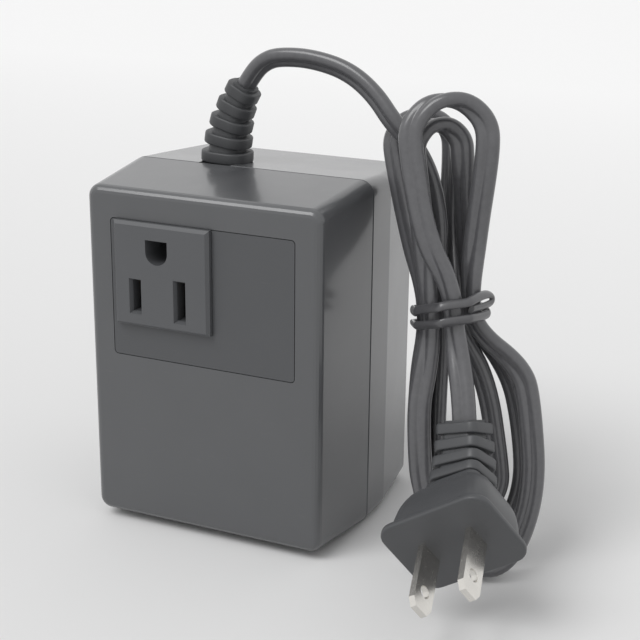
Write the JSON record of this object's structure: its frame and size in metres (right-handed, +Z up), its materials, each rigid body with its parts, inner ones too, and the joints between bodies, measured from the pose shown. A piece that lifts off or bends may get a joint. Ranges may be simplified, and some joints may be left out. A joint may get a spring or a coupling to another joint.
{
  "type": "travel voltage converter",
  "caption": "Boxy step-up or step-down transformer for travel, with a grounded-style outlet in its face, a ribbed cord boot on top and a tied two-wire mains cord with a flat-blade plug.",
  "frame": {"origin": "centre of the bounding box's bottom, with the cord left out: under the middle of the case, on the surface it stands on", "axes": "+Z up, +Y from the outlet's face to the back, +X to the side where the tied cord lies"},
  "size_m": [0.1254, 0.0969, 0.1235],
  "materials": {
    "case_plastic": "satin moulded, fine texture",
    "panel_finish": "bare satin black",
    "outlet_plastic": "satin moulded",
    "contact_brass": "stamped",
    "screw_steel": "zinc plated",
    "core_steel": "stacked laminations, varnished",
    "frame_steel": "zinc plated",
    "former_nylon": "moulded",
    "winding_copper": "enamelled wire",
    "tape_film": "adhesive film",
    "wire_sleeve": "extruded",
    "boot_rubber": "satin moulded",
    "cord_vinyl": "glossy extruded",
    "tie_vinyl": "glossy",
    "plug_vinyl": "satin moulded",
    "blade_nickel": "nickel plated"
  },
  "bodies": {
    "root": {"front_cover": "case_plastic", "rear_cover": "case_plastic", "panel_plate": "panel_finish", "outlet_body": "outlet_plastic", "outlet_retainer": "outlet_plastic", "line_contact": "contact_brass", "neutral_contact": "contact_brass", "outlet_screws": "screw_steel", "cover_screws": "screw_steel", "core_e_stack": "core_steel", "core_i_stack": "core_steel", "core_frame": "frame_steel", "bobbin": "former_nylon", "primary_winding": "winding_copper", "winding_barrier": "tape_film", "secondary_winding": "winding_copper", "outer_tape": "tape_film", "coil_pins": "contact_brass", "thermal_fuse": "screw_steel", "outlet_leads": "wire_sleeve", "mains_leads": "wire_sleeve", "cord_boot": "boot_rubber", "cord_lead": "cord_vinyl", "cord_hank": "cord_vinyl", "cord_tail": "cord_vinyl", "cord_tie": "tie_vinyl", "plug_body": "plug_vinyl", "plug_blade_left": "blade_nickel", "plug_blade_right": "blade_nickel"}
  },
  "joints": []
}
